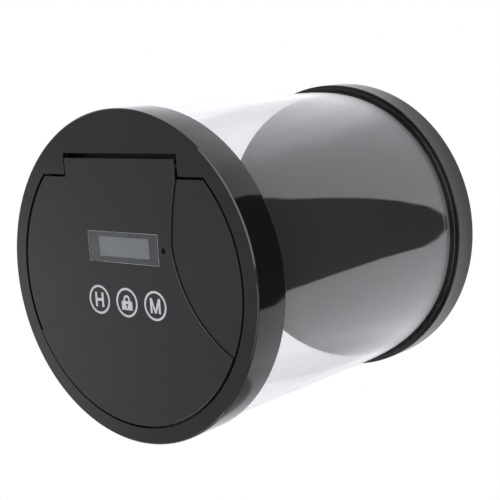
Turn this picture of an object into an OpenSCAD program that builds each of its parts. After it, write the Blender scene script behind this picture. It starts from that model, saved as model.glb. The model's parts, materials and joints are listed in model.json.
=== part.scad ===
// Timed lock container: a clear tube on a black base, closed by a ring with a hinged door.
// The door holds the display, the touch keys, the cells and a motor-driven bolt.
// Z is up, the door is on top, its hinge lies towards +Y and its bolt towards -Y.

/* [Container] */
// Overall height, from the feet to the face of the lid ring
body_h = 190; // [150:1:260]
// Outer diameter of the clear tube
tube_d = 161; // [150:1:162]
// Wall of the clear tube
tube_wall = 2.5; // [2:0.1:3]
// Gap left for glue between the tube and its seats
glue_gap = 0.1; // [0.05:0.05:0.2]

/* [Base] */
// Outer diameter of the base
base_d = 167; // [166:0.5:185]
// Height of the base's outer rim above the ground
base_h = 16; // [14:0.2:24]
// Wall of the base's rim
base_wall = 2.2; // [1.6:0.1:3]
// Bevel on the edges of the base
base_bevel = 0.3; // [0.2:0.1:1.2]
// Wall of the collar round the foot of the tube
collar_wall = 1.4; // [1:0.1:1.6]
// How far the collar stands above the rim
collar_rise = 2.6; // [1:0.2:8]
// Thickness of the container's floor
floor_t = 2.5; // [1.5:0.1:3.2]
// How far the floor lies under the rim's top
floor_drop = 1; // [0:0.1:2]
// How deep the tube's foot sits under the floor
tube_seat = 3; // [1:0.2:4]
// Thickness of the plate that closes the base
plate_t = 2; // [1.5:0.1:3]
// Diameter of a foot
foot_d = 14; // [8:0.5:20]
// How far a foot stands under the base's rim
foot_stand = 0.8; // [0.5:0.1:2]
// How deep a foot is let into the plate
foot_inset = 0.8; // [0.4:0.1:1]
// Circle that the feet stand on
foot_circle_d = 132; // [90:1:140]
// Number of feet
foot_count = 4; // [3:1:6]
// Circle of the screws under the base
base_screw_circle_d = 112; // [80:1:140]
// Number of screws under the base
base_screw_count = 4; // [3:1:6]

/* [Lid ring] */
// Outer diameter of the lid ring
lid_d = 165; // [164:0.5:178]
// Height of the lid ring's skirt
lid_h = 20; // [20:0.5:30]
// Thickness of the ring's face
lid_top_t = 2.5; // [2:0.1:3]
// Bevel on the ring's outer edges
lid_bevel = 0.7; // [0.2:0.1:1]
// Wall of the liner inside the tube
liner_wall = 3; // [1.6:0.1:3.2]
// Gap between the liner and the tube
liner_gap = 0.3; // [0.2:0.05:0.6]
// Width of the door opening's edge inside the liner
rim_step = 0.4; // [0.1:0.05:0.6]
// How far the ledge under the door reaches in
ledge_w = 2.3; // [1.4:0.1:2.4]
// Thickness of the ledge
ledge_t = 2; // [1:0.1:3]

/* [Door] */
// Gap between the door and the lid ring
door_gap = 1.2; // [0.5:0.05:1.4]
// Y of the straight shoulders of the door opening
shoulder_y = 50.5; // [50:0.1:51]
// Gap between the door and the straight shoulders
shoulder_gap = 1.2; // [1.2:0.05:1.5]
// How far the side wings lie under the ring's face
wing_drop = 0.2; // [0.1:0.1:1.3]
// Thickness of the door shell's plate
shell_t = 2.2; // [1.8:0.1:2.4]
// Wall of the door's skirt
skirt_wall = 1.8; // [1.2:0.1:2.2]
// How far the skirt lies inside the door's edge
skirt_inset = 2.6; // [2.5:0.1:4]
// How far the skirt lies behind the shoulders
skirt_back = 2; // [1:0.1:3]
// Depth of the door under the ring's face
door_depth = 21.4; // [21.2:0.1:24]
// Thickness of the tray that closes the door
tray_t = 2.4; // [2:0.1:2.6]
// Circle of the tray's screws
tray_screw_circle_d = 124; // [118:1:130]
// How far the centre panel stands above the ring's face
panel_rise = 0.8; // [0.2:0.1:1]
// Half the panel's width at its waist
waist_x = 31.9; // [31:0.1:34]
// Y of the panel's waist
waist_y = 17.5; // [14:0.5:22]
// X where the panel's edge meets the rim
flare_x = 66.5; // [62:0.5:69]
// Y where the panel's edge meets the rim
flare_y = -32; // [-36:0.2:-26]
// Bow of the panel's edge above the waist
upper_bow = 0.9; // [0.2:0.1:2]
// Bow of the panel's edge under the waist
lower_bow = 7.7; // [4:0.1:10]

/* [Hinge] */
// Half the width of the hinge tab
tab_half_w = 37.4; // [30:0.2:38]
// Y of the hinge tab's end
tab_y = 58.9; // [58.6:0.1:59.4]
// Gap between the tab's end and the ring
tab_end_gap = 2.2; // [1.8:0.1:2.4]
// Y of the hinge pin
pin_y = 55; // [54.8:0.1:55.4]
// Depth of the hinge pin under the ring's face
pin_depth = 3; // [2.9:0.05:3.1]
// Diameter of the hinge pin
pin_d = 3; // [2:0.1:3]
// Radial clearance of the pin in the door's knuckle
pin_play = 0.06; // [0.03:0.01:0.1]
// Wall of the knuckle round the pin
knuckle_wall = 1.5; // [1.2:0.1:1.6]
// Thickness of each ear that holds the pin
ear_t = 4; // [3:0.2:4.6]
// Wall of the cover behind and under the hinge
hinge_cover_t = 1.5; // [1:0.1:1.8]
// X of the screws of the hinge cover
cover_screw_x = 24; // [15:1:27]
// Y of the screws of the hinge cover
cover_screw_y = 67; // [66.5:0.1:67.5]
// How far those screws reach into the ring
cover_screw_bite = 3.5; // [2.5:0.1:4]

/* [Display and keys] */
// Width of the display lens
lens_w = 47.6; // [40:0.2:52]
// Height of the display lens
lens_h = 15.2; // [14:0.2:18]
// Thickness of the display lens
lens_t = 0.6; // [0.5:0.1:1.2]
// Gap round the display lens
lens_gap = 0.15; // [0.1:0.05:0.3]
// Y of the display's centre
lens_y = 15.6; // [14:0.2:17]
// Width of the window under the lens
window_w = 34.4; // [30:0.2:36]
// Height of the window under the lens
window_h = 10; // [8:0.2:11]
// Width of the display module
lcd_w = 40; // [38:0.5:44]
// Height of the display module
lcd_h = 14; // [12:0.2:15]
// Thickness of the display module
lcd_t = 2.8; // [2.6:0.1:3]
// Outer diameter of a key's printed ring
key_d = 14.6; // [12:0.2:17]
// Width of the printed lines
key_line = 1.1; // [0.6:0.1:1.4]
// Distance between the keys
key_pitch = 19.2; // [18:0.2:21]
// Y of the row of keys
key_y = -11.35; // [-14:0.05:-9]
// Height of a printed letter
letter_h = 7.4; // [6:0.1:8.4]
// Thickness of the printed ink
ink_t = 0.1; // [0.05:0.05:0.2]
// Diameter of the pinhole beside the display
pinhole_d = 2.6; // [1:0.1:3]
// X of the pinhole
pinhole_x = 27.2; // [26:0.1:28]

/* [Electronics] */
// Width of the circuit board
board_w = 69; // [66:1:74]
// Y of the board's lower edge
board_y0 = -23; // [-26:0.5:-22]
// Y of the board's upper edge
board_y1 = 29; // [28:0.5:34]
// Thickness of the circuit board
board_t = 1.6; // [1:0.1:1.6]
// Diameter of the springs under the touch keys
touch_spring_d = 7; // [6:0.2:8]
// Diameter of the buzzer
buzzer_d = 12; // [9:0.5:12]
// Height of the buzzer
buzzer_h = 5.2; // [3:0.2:5.4]
// X of the buzzer
buzzer_x = -22; // [-26:1:-18]
// Side of the controller chip
chip_w = 7; // [5:0.5:8]
// Thickness of the controller chip
chip_t = 1; // [0.6:0.1:1.4]
// X of the controller chip's centre
chip_x = -5.5; // [-8:0.5:-5]
// Width of a lead connector
connector_w = 6; // [4:0.5:8]
// Depth of a lead connector
connector_l = 4; // [3:0.5:5]
// Height of a lead connector
connector_h = 3; // [2:0.5:4]
// X of the two lead connectors
connector_xs = [3, 21];
// Diameter of a lead
lead_d = 1; // [0.8:0.1:1.2]

/* [Battery bay] */
// Diameter of a cell
cell_d = 10.5; // [10:0.1:10.5]
// Length of a cell with its nub
cell_l = 44.5; // [42:0.1:46]
// Number of cells side by side
CELLS = 3;
// Distance between the cells' axes
cell_pitch = 11; // [10.8:0.1:11.2]
// Y of the middle cell
bay_y = 26; // [25.5:0.1:26.5]
// Room for the spring at one end of a cell
spring_room = 5; // [4.4:0.1:6]
// Thickness of a contact plate
contact_t = 0.5; // [0.3:0.05:0.8]
// Wall of the battery bay
bay_wall = 1.2; // [1:0.1:1.4]
// Thickness of the battery door
hatch_t = 1.4; // [1.2:0.1:1.4]
// Rim of the tray that the battery door closes against
hatch_rim = 1.6; // [1.2:0.1:2]
// Gap round the battery door
hatch_gap = 0.25; // [0.2:0.05:0.4]
// Width of the finger groove at the battery door's edge
groove_w = 14; // [10:1:20]
// Radius of the finger groove
groove_r = 5; // [4:0.5:8]

/* [Latch] */
// Travel of the bolt
bolt_travel = 6; // [5:0.1:6.2]
// Width of the bolt
bolt_w = 8; // [6:0.2:10]
// Running gap round the bolt
bolt_gap = 0.2; // [0.15:0.05:0.3]
// Height of the bolt's nose
bolt_h = 5.4; // [4.8:0.1:5.4]
// Module of the rack and pinion
gear_module = 0.7; // [0.68:0.01:0.7]
// Teeth of the pinion
pinion_teeth = 12; // [12:1:12]
// Width of the pinion
pinion_w = 5; // [4:0.2:6]
// Y of the pinion's axis
pinion_y = -50; // [-51:0.5:-48]
// Backlash between the rack and the pinion
backlash = 0.16; // [0.1:0.01:0.24]
// Length of the motor with its gearbox
motor_l = 24; // [18:0.5:26]
// Width of the gearbox
motor_w = 12; // [10:0.2:12]
// Height of the gearbox
motor_h = 10; // [8:0.2:10]
// Diameter of the motor's shaft
shaft_d = 3; // [2:0.1:3]
// Thickness of the clamp over the motor
clamp_t = 0.8; // [0.5:0.1:0.8]
// Thickness of the keeper over the bolt
keeper_t = 1.2; // [0.8:0.1:1.6]

/* [Hidden] */
CELL_NODES = [for (i = [1:CELLS]) str("battery_cell_", i)];
$fn = 96;
// Overshoot of a cut past a face
cut = 1;
// How far the parts of one solid run into each other
sink = 0.5;

// Radii of the container
tube_r = tube_d / 2;
tube_in_r = tube_r - tube_wall;
base_r = base_d / 2;
collar_in_r = tube_r + glue_gap;
collar_r = collar_in_r + collar_wall;
floor_r = tube_in_r - glue_gap;

// Heights of the base
z_rim_low = foot_stand;
z_floor = base_h - floor_drop;
z_tube_low = z_floor - tube_seat;
z_seat_low = z_tube_low - floor_t;
plate_recess = 0.4;
z_plate = z_rim_low + plate_recess;
z_plate_top = z_plate + plate_t;
plate_gap = 0.2;
boss_wall = 2.4;
base_screw_bite = 5;

// Heights and radii of the lid
z_face = body_h;
z_lid_low = z_face - lid_h;
z_lid_under = z_face - lid_top_t;
lid_r = lid_d / 2;
lid_in_r = tube_r + glue_gap;
liner_r = tube_in_r - liner_gap;
liner_in_r = liner_r - liner_wall;
open_r = liner_in_r - rim_step;
ledge_r = liner_in_r - ledge_w;

// Door
door_r = open_r - door_gap;
door_y = shoulder_y - shoulder_gap;
z_wing = z_face - wing_drop;
z_shell_under = z_wing - shell_t;
z_ledge = z_shell_under - 0.1;
skirt_r = door_r - skirt_inset;
skirt_y = door_y - skirt_back;
z_door_low = z_face - door_depth;
z_tray = z_door_low + tray_t;
z_panel = z_face + panel_rise;

// Hinge
notch_half_w = tab_half_w + door_gap;
notch_y = tab_y + tab_end_gap;
z_pin = z_face - pin_depth;
pin_r = pin_d / 2;
knuckle_r = pin_r + knuckle_wall;
ear_half = 4.2;
pin_press = 0.02;
tab_swing_r = norm([tab_y - pin_y, z_panel - z_pin]);
swing_gap = 0.6;
z_hinge_floor = z_pin - tab_swing_r - swing_gap;
cover_boss_r = 3;
skirt_gap = 0.5;
ledge_end_y = skirt_y;

// Screws: shank radius, head radius, head height
big_screw = [1.4, 2.6, 1.6];
small_screw = [0.9, 1.8, 1.1];
screw_gap = 0.05;
head_gap = 0.2;
slot_w = 0.5;
tray_screw_angles = [20, 160, 220, 320];
tray_boss_r = big_screw[0] + 1.8;
tray_screw_bite = 8;

// Display and board
z_lens = z_panel - lens_t;
z_lcd = z_wing - 0.1;
z_board = z_lcd - lcd_t;
z_board_under = z_board - board_t;
lcd_room = 0.5;
board_screw_x = board_w / 2 - 3;
board_screw_ys = [board_y0 + 4, board_y1 - 4];
board_screw_bite = 1.4;
letter_w = 0.8 * letter_h;
letter_line = 0.185 * letter_h;
ink_gap = 0;
z_ink = z_panel + ink_gap;
led_r = 1.4;
led_gap = 0.3;

// Battery bay
bay_in_l = cell_l + spring_room + 2 * contact_t;
bay_in_w = (CELLS - 1) * cell_pitch + cell_d + 1;
bay_y0 = bay_y - bay_in_w / 2;
bay_y1 = bay_y + bay_in_w / 2;
z_hatch = z_door_low + 0.2;
z_hatch_top = z_hatch + hatch_t;
hatch_r = hatch_t / 2;
z_cell = z_hatch_top + 0.7 + cell_d / 2;
z_bay_top = z_cell + cell_d / 2 + 0.4;
hatch_half_l = bay_in_l / 2 + hatch_rim;
hatch_y0 = bay_y0 - hatch_rim;
hatch_y1 = bay_y1 + hatch_rim;
hatch_pin_y = hatch_y1 - hatch_gap - hatch_r;
hatch_stub_r = hatch_r - 0.1;
hatch_stub_l = 1.6;
nub_r = 1.9;
nub_l = 0.8;

// Latch
pressure_angle = 25;
pinion_r = gear_module * pinion_teeth / 2;
addendum = 0.9 * gear_module;
dedendum = 1.2 * gear_module;
rack_pitch = PI * gear_module;
z_bolt = z_tray + bolt_gap;
z_bolt_top = z_bolt + bolt_h;
bolt_y0 = -skirt_r + 0.3;
rack_y0 = pinion_y - 4.4;
rack_y1 = pinion_y + bolt_travel + 4.4;
z_rack = z_bolt_top - addendum;
z_pinion = z_rack + pinion_r;
motor_x = pinion_w / 2 + 5;
keeper_y = -64;
keeper_half_y = 3;
keeper_post_x = bolt_w / 2 + bolt_gap + 5;
post_r = 2.4;
z_keeper = z_bolt_top + bolt_gap;
clamp_x = motor_x + 3;
clamp_l = 8;
clamp_foot = 6;
z_clamp_foot = z_pinion - motor_h / 2;
latch_screw_bite = 4;

// Routes of the leads, as points on the way from the motor and from the bay to their connectors
motor_end = motor_x + motor_l;
bay_end = bay_in_l / 2 + bay_wall;
connector_y = board_y0 + connector_l + 1;
z_lead_end = z_board_under - 0.9;
lead_gap = 1.6;
motor_lead_end = [connector_xs[1] + connector_w / 2, connector_y - 2, z_lead_end];
motor_lead_way = [
    [motor_end, pinion_y + 1, z_pinion + 0.8], [motor_end + 2.5, pinion_y + 1, z_pinion + 0.8],
    [motor_end + 5.5, pinion_y + 4, z_pinion + 1], [motor_end + 5.5, pinion_y + 12, z_pinion + 1.4],
    motor_lead_end + [9, -7, -1.2], motor_lead_end + [4, -1, -0.4], motor_lead_end];
battery_lead_end = [connector_xs[0], connector_y, z_lead_end];
battery_lead_way = [
    [bay_end, bay_y0 + 5, z_cell + 1.4], [bay_end + 2.5, bay_y0 + 5, z_cell + 1.4],
    [bay_end + 4.5, bay_y0 + 1, z_cell + 2], [bay_end + 4.5, bay_y0 - 7, z_lead_end - 3.6],
    battery_lead_end + [19, 14, -2], battery_lead_end + [5, 9, -0.6], battery_lead_end + [0.4, 5, -0.1],
    battery_lead_end];

// A closed tube swept along points, with the section turned as little as possible
function unit(v) = v / norm(v);
function across(t, n) = unit(n - (n * t) * t);
function tangents(p) = [for (i = [0:len(p) - 1])
    unit(p[min(i + 1, len(p) - 1)] - p[max(i - 1, 0)])];
function carried(t, i, n) = i >= len(t) ? [] : concat([across(t[i], n)], carried(t, i + 1, across(t[i], n)));
module swept(p, r, sides, start) {
    t = tangents(p);
    n = carried(t, 0, start);
    last = (len(p) - 1) * sides;
    rings = [for (i = [0:len(p) - 1], k = [0:sides - 1])
        let (a = 360 * k / sides, b = cross(t[i], n[i])) p[i] + r * (cos(a) * n[i] + sin(a) * b)];
    walls = [for (i = [0:len(p) - 2], k = [0:sides - 1], half = [0, 1])
        let (a = i * sides + k, b = i * sides + (k + 1) % sides)
        half == 0 ? [a, a + sides, b + sides] : [a, b + sides, b]];
    caps = concat([for (k = [1:sides - 2]) [0, k, k + 1]],
                  [for (k = [1:sides - 2]) [last, last + k + 1, last + k]]);
    polyhedron(points = rings, faces = concat(walls, caps));
}

// Points of a smooth curve through a list of points
function curve_at(p, i, u) = let (a = p[max(i - 1, 0)], b = p[i], c = p[i + 1], d = p[min(i + 2, len(p) - 1)])
    0.5 * (2 * b + u * (c - a) + u * u * (2 * a - 5 * b + 4 * c - d) + u * u * u * (3 * b - a - 3 * c + d));
function smooth_way(p) = concat([for (i = [0:len(p) - 2], u = [0:3]) curve_at(p, i, u / 4)], [p[len(p) - 1]]);

// A compression spring along Z: one wire, eight rings a curl
module coil(radius, wire_r, height, curls) {
    rings = 8 * curls;
    rise = height - 2 * wire_r;
    points = [for (i = [0:rings]) let (a = 45 * i) [radius * cos(a), radius * sin(a), wire_r + rise * i / rings]];
    gap = rise / curls - 2 * wire_r;
    echo(coil_gap = gap);
    swept(points, wire_r, 6, [1, 0, 0]);
}

// Points of an arc from p to q that bows out to the right of the way by bow
function arc_points(p, q, bow, steps) = let (
    half = norm(q - p) / 2, radius = (half * half + bow * bow) / (2 * bow),
    along = (q - p) / (2 * half), side = [along[1], -along[0]],
    centre = (p + q) / 2 - (radius - bow) * side, spread = asin(half / radius))
    [for (i = [0:steps]) let (a = spread * (2 * i / steps - 1)) centre + radius * (sin(a) * along + cos(a) * side)];

// A screw with a cross recess: head downwards from z = 0, shank upwards
module screw(kind, bite) {
    difference() {
        union() {
            cylinder(r = kind[1], h = kind[2], $fn = 48);
            cylinder(r = kind[0], h = kind[2] + bite, $fn = 32);
        }
        for (a = [0, 90]) rotate(a) translate([-kind[1] * 0.6, -slot_w / 2, -cut])
            cube([kind[1] * 1.2, slot_w, kind[2] * 0.5 + cut]);
    }
}

module bevelled_disc(r, z0, z1, low, high) {
    rotate_extrude($fn = 180) polygon([[0, z0], [r - low, z0], [r, z0 + low], [r, z1 - high], [r - high, z1], [0, z1]]);
}

module round_bar(r, y, z, half_l) {
    translate([-half_l, y, z]) rotate([0, 90, 0]) cylinder(r = r, h = 2 * half_l, $fn = 64);
}

module bar(x0, x1, y0, y1, z0, z1) {
    translate([x0, y0, z0]) cube([x1 - x0, y1 - y0, z1 - z0]);
}

module polar(count, radius, first = 0) {
    for (i = [0:count - 1]) rotate(first + 360 * i / count) translate([radius, 0, 0]) children();
}

// Disc of radius r, cut straight at y
module cut_disc(r, y) {
    intersection() {
        circle(r = r, $fn = 180);
        translate([-r - cut, -r - cut]) square([2 * (r + cut), r + cut + y]);
    }
}

// ---- Base ----

module base_shell() color("#141416") {
    hollow_r = base_r - base_wall;
    under_r = floor_r - floor_t;
    difference() {
        union() {
            bevelled_disc(base_r, z_rim_low, base_h, base_bevel, base_bevel);
            cylinder(r = collar_r, h = base_h + collar_rise, $fn = 180);
        }
        translate([0, 0, z_rim_low - cut - base_h]) cylinder(r = base_r, h = cut + base_h, $fn = 180);
        translate([0, 0, z_floor]) cylinder(r = floor_r, h = base_h + collar_rise, $fn = 180);
        translate([0, 0, z_tube_low]) difference() {
            cylinder(r = collar_in_r, h = base_h + collar_rise, $fn = 180);
            translate([0, 0, -cut]) cylinder(r = floor_r, h = base_h + collar_rise + 2 * cut, $fn = 180);
        }
        difference() {
            union() {
                translate([0, 0, -cut]) cylinder(r = hollow_r, h = z_seat_low + cut, $fn = 180);
                cylinder(r = under_r, h = z_floor - floor_t, $fn = 180);
            }
            polar(base_screw_count, base_screw_circle_d / 2) translate([0, 0, z_plate_top])
                cylinder(r = big_screw[0] + boss_wall, h = base_h);
        }
        polar(base_screw_count, base_screw_circle_d / 2)
            cylinder(r = big_screw[0] + screw_gap, h = z_plate_top + base_screw_bite + sink);
    }
}

module base_plate() color("#1a1a1c") difference() {
    translate([0, 0, z_plate]) cylinder(r = base_r - base_wall - plate_gap, h = plate_t, $fn = 180);
    polar(base_screw_count, base_screw_circle_d / 2) {
        cylinder(r = big_screw[0] + head_gap, h = z_plate_top + cut);
        cylinder(r = big_screw[1] + head_gap, h = z_plate_top - plate_t / 2);
    }
    polar(foot_count, foot_circle_d / 2, 45) cylinder(r = foot_d / 2 + head_gap, h = z_plate + foot_inset);
}

module base_screws() color("#8a8c90")
    polar(base_screw_count, base_screw_circle_d / 2)
        translate([0, 0, z_plate_top - plate_t / 2 - big_screw[2]]) screw(big_screw, base_screw_bite);

module base_feet() color("#2a2a2c")
    polar(foot_count, foot_circle_d / 2, 45) cylinder(r = foot_d / 2, h = z_plate + foot_inset);

// ---- Tube ----

module clear_tube() color("#dfe6ea", 0.25) difference() {
    translate([0, 0, z_tube_low]) cylinder(r = tube_r, h = z_lid_under - z_tube_low, $fn = 180);
    translate([0, 0, z_tube_low - cut]) cylinder(r = tube_in_r, h = body_h, $fn = 180);
}

// ---- Lid ring ----

module door_opening() {
    cut_disc(open_r, shoulder_y);
    translate([-notch_half_w, 0]) square([2 * notch_half_w, notch_y]);
}

module lid_ring() color("#121214") difference() {
    union() {
        difference() {
            bevelled_disc(lid_r, z_lid_low, z_face, lid_bevel / 2, lid_bevel);
            translate([0, 0, z_lid_low - cut]) cylinder(r = lid_in_r, h = lid_h - lid_top_t + cut, $fn = 180);
        }
        for (side = [-1, 1]) {
            translate([side * (notch_half_w + ear_t / 2), pin_y, z_pin]) intersection() {
                union() {
                    rotate([0, 90, 0]) cylinder(r = ear_half, h = ear_t, center = true);
                    translate([-ear_t / 2, -ear_half, 0]) cube([ear_t, 2 * ear_half, pin_depth]);
                }
                translate([-ear_t, -ear_half, -ear_half])
                    cube([2 * ear_t, 2 * ear_half, ear_half + z_lid_under + sink - z_pin]);
            }
            translate([side * cover_screw_x, cover_screw_y, z_hinge_floor])
                cylinder(r = cover_boss_r, h = z_lid_under + sink - z_hinge_floor);
        }
    }
    translate([0, 0, z_lid_under - cut]) linear_extrude(lid_top_t + 2 * cut) door_opening();
    round_bar(pin_r + pin_press, pin_y, z_pin, notch_half_w + ear_t);
    for (side = [-1, 1]) translate([side * cover_screw_x, cover_screw_y, z_hinge_floor - cut])
        cylinder(r = small_screw[0] + screw_gap, h = cover_screw_bite + sink + cut);
}

module lid_liner() color("#1b1b1d") difference() {
    union() {
        difference() {
            translate([0, 0, z_lid_low]) cylinder(r = liner_r, h = lid_h - lid_top_t, $fn = 180);
            translate([0, 0, z_lid_low - cut]) cylinder(r = liner_in_r, h = lid_h, $fn = 180);
        }
        translate([0, 0, z_ledge - ledge_t]) linear_extrude(ledge_t) difference() {
            cut_disc(liner_in_r + liner_wall / 2, ledge_end_y);
            circle(r = ledge_r, $fn = 180);
        }
    }
    bar(-bolt_w / 2 - 1, bolt_w / 2 + 1, -tube_r, -ledge_r, z_bolt - 0.4, z_bolt_top + 0.6);
}

module hinge_pin() color("#b9bcc0") round_bar(pin_r, pin_y, z_pin, notch_half_w + ear_t - 0.2);

// Its floor reaches under the whole gap between the door and the shoulders, so that no gap is open to the tube
module hinge_cover() color("#1b1b1d") difference() {
    union() {
        translate([0, 0, z_hinge_floor - hinge_cover_t]) linear_extrude(hinge_cover_t) intersection() {
            circle(r = liner_in_r - 0.3, $fn = 180);
            translate([-tube_r, skirt_y + skirt_gap]) square([2 * tube_r, tube_r]);
        }
        bar(-notch_half_w, notch_half_w, notch_y, notch_y + hinge_cover_t, z_hinge_floor - sink, z_lid_under);
    }
    for (side = [-1, 1]) translate([side * cover_screw_x, cover_screw_y, z_hinge_floor - hinge_cover_t - cut])
        cylinder(r = small_screw[0] + head_gap, h = hinge_cover_t + 2 * cut);
}

module hinge_cover_screws() color("#8a8c90") for (side = [-1, 1])
    translate([side * cover_screw_x, cover_screw_y, z_hinge_floor - hinge_cover_t - small_screw[2]])
        screw(small_screw, hinge_cover_t + cover_screw_bite);

// ---- Door ----

// Outline of the raised centre panel, with the hinge tab at its top
module panel_outline() {
    right = concat(
        [[tab_half_w, tab_y]],
        arc_points([tab_half_w, door_y], [waist_x, waist_y], upper_bow, 8),
        arc_points([waist_x, waist_y], [flare_x, flare_y], lower_bow, 16),
        [[door_r + 10, flare_y - 12], [door_r + 10, -door_r - 10]]);
    left = [for (i = [len(right) - 1:-1:0]) [-right[i][0], right[i][1]]];
    intersection() {
        circle(r = door_r, $fn = 180);
        polygon(concat(right, left));
    }
}

module tray_screw_places() {
    for (a = tray_screw_angles) rotate(a) translate([tray_screw_circle_d / 2, 0, 0]) children();
}

module board_screw_places() {
    for (side = [-1, 1], y = board_screw_ys) translate([side * board_screw_x, y, 0]) children();
}

module key_places() {
    for (i = [-1:1]) translate([i * key_pitch, key_y, 0]) children();
}

module door_shell() color("#1c1c1e") difference() {
    union() {
        translate([0, 0, z_shell_under]) linear_extrude(shell_t) cut_disc(door_r, door_y);
        translate([0, 0, z_tray]) linear_extrude(z_shell_under - z_tray + sink) difference() {
            cut_disc(skirt_r, skirt_y);
            cut_disc(skirt_r - skirt_wall, skirt_y - skirt_wall);
        }
        tray_screw_places() translate([0, 0, z_tray]) cylinder(r = tray_boss_r, h = z_shell_under - z_tray + sink);
        board_screw_places() translate([0, 0, z_board]) cylinder(r = 2.4, h = z_shell_under - z_board + sink);
    }
    bar(-lcd_w / 2 - lcd_room, lcd_w / 2 + lcd_room, lens_y - lcd_h / 2 - lcd_room, lens_y + lcd_h / 2 + lcd_room,
        z_shell_under - cut, z_wing + cut);
    key_places() translate([0, 0, z_shell_under - cut]) cylinder(d = touch_spring_d + 1.6, h = shell_t + 2 * cut);
    translate([pinhole_x, lens_y, z_shell_under - cut]) cylinder(r = led_r + led_gap, h = shell_t + 2 * cut);
    tray_screw_places() translate([0, 0, z_tray - cut])
        cylinder(r = big_screw[0] + screw_gap, h = tray_screw_bite + cut);
    board_screw_places() translate([0, 0, z_board - cut])
        cylinder(r = small_screw[0] + screw_gap, h = board_screw_bite + cut + 0.2);
    bar(-bolt_w / 2 - bolt_gap, bolt_w / 2 + bolt_gap, -skirt_r - cut, -skirt_r / 2, z_tray - cut,
        z_bolt_top + bolt_gap);
}

module front_panel() color("#26262a") difference() {
    union() {
        translate([0, 0, z_wing]) linear_extrude(z_panel - z_wing) panel_outline();
        round_bar(knuckle_r, pin_y, z_pin, tab_half_w - 0.4);
        bar(-tab_half_w + 0.4, tab_half_w - 0.4, pin_y - knuckle_r, pin_y + knuckle_r, z_pin, z_wing + 0.1);
    }
    round_bar(pin_r + pin_play, pin_y, z_pin, tab_half_w + cut);
    bar(-lens_w / 2 - lens_gap, lens_w / 2 + lens_gap, lens_y - lens_h / 2 - lens_gap,
        lens_y + lens_h / 2 + lens_gap, z_lens, z_panel + cut);
    bar(-window_w / 2, window_w / 2, lens_y - window_h / 2, lens_y + window_h / 2, z_wing - cut, z_panel);
    translate([pinhole_x, lens_y, z_wing - cut]) cylinder(d = pinhole_d, h = z_panel - z_wing + 2 * cut, $fn = 32);
}

module display_lens() color("#2b2d31", 0.5)
    bar(-lens_w / 2, lens_w / 2, lens_y - lens_h / 2, lens_y + lens_h / 2, z_lens, z_panel);

// A printed key: its ring at key number i, with the sign inside
module key_print(i) {
    translate([i * key_pitch, key_y, z_ink]) linear_extrude(ink_t) {
        difference() {
            circle(d = key_d, $fn = 96);
            circle(d = key_d - 2 * key_line, $fn = 96);
        }
        children();
    }
}

module hour_key_icon() color("#c9cacc") key_print(-1) {
    for (side = [-1, 1]) translate([side * (letter_w - letter_line) / 2 - letter_line / 2, -letter_h / 2])
        square([letter_line, letter_h]);
    translate([-letter_w / 2 + letter_line / 2, -letter_line / 2]) square([letter_w - letter_line, letter_line]);
}

module minute_key_icon() color("#c9cacc") key_print(1) {
    half = 0.46 * letter_h;
    low = -letter_h / 2;
    high = letter_h / 2;
    dip = low + 1.3 * letter_line;
    right = [[0, dip], [half - letter_line, high], [half, high], [half, low], [half - letter_line, low],
             [half - letter_line, high - 2.4 * letter_line], [letter_line * 0.4, low]];
    left = [for (i = [len(right) - 1:-1:1]) [-right[i][0], right[i][1]]];
    polygon(concat(right, left));
}

module lock_key_icon() color("#c9cacc") key_print(0) {
    lock_w = 0.97 * letter_h;
    lock_h = 0.6 * letter_h;
    bow_r = 0.3 * letter_h;
    bow_y = lock_h - letter_h / 2 + 0.1 * letter_h;
    difference() {
        translate([-lock_w / 2, -letter_h / 2]) square([lock_w, lock_h]);
        translate([0, -letter_h / 2 + lock_h * 0.6]) circle(r = key_line * 0.7, $fn = 24);
        translate([-key_line * 0.3, -letter_h / 2 + lock_h * 0.2]) square([key_line * 0.6, lock_h * 0.4]);
    }
    difference() {
        union() {
            translate([0, bow_y]) circle(r = bow_r, $fn = 48);
            translate([-bow_r, lock_h - letter_h / 2 - 0.1]) square([2 * bow_r, bow_y - lock_h + letter_h / 2 + 0.1]);
        }
        translate([0, bow_y]) circle(r = bow_r - key_line, $fn = 48);
        translate([-bow_r + key_line, lock_h - letter_h / 2 - 0.2])
            square([2 * (bow_r - key_line), bow_y - lock_h + letter_h / 2 + 0.2]);
    }
}

// ---- Electronics ----

module lcd_module() color("#7c858a") {
    bar(-lcd_w / 2, lcd_w / 2, lens_y - lcd_h / 2, lens_y + lcd_h / 2, z_board, z_lcd - 0.6);
    bar(-lcd_w / 2 + 1.5, lcd_w / 2 - 1.5, lens_y - lcd_h / 2 + 1, lens_y + lcd_h / 2 - 1, z_board, z_lcd);
}

module circuit_board() color("#1d5a34") difference() {
    bar(-board_w / 2, board_w / 2, board_y0, board_y1, z_board_under, z_board);
    board_screw_places() translate([0, 0, z_board_under - cut])
        cylinder(r = small_screw[0] + head_gap, h = board_t + 2 * cut);
}

module board_screws() color("#8a8c90") board_screw_places()
    translate([0, 0, z_board_under - small_screw[2]]) screw(small_screw, board_t + board_screw_bite);

module touch_springs() color("#c8a24a") key_places() translate([0, 0, z_board])
    coil(touch_spring_d / 2 - 0.3, 0.25, z_wing - z_board, 3);

module status_led() color("#e8e4d8") translate([pinhole_x, lens_y, z_board])
    cylinder(r = led_r, h = z_lcd - z_board - 0.2, $fn = 32);

module buzzer() color("#101010") translate([buzzer_x, key_y - 2, z_board_under - buzzer_h]) difference() {
    cylinder(d = buzzer_d, h = buzzer_h);
    translate([0, 0, -cut]) cylinder(d = buzzer_d / 6, h = buzzer_h / 5 + cut, $fn = 24);
}

module controller_chip() color("#202022")
    bar(chip_x - chip_w / 2, chip_x + chip_w / 2, key_y - chip_w - 1, key_y - 1, z_board_under - chip_t, z_board_under);

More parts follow.
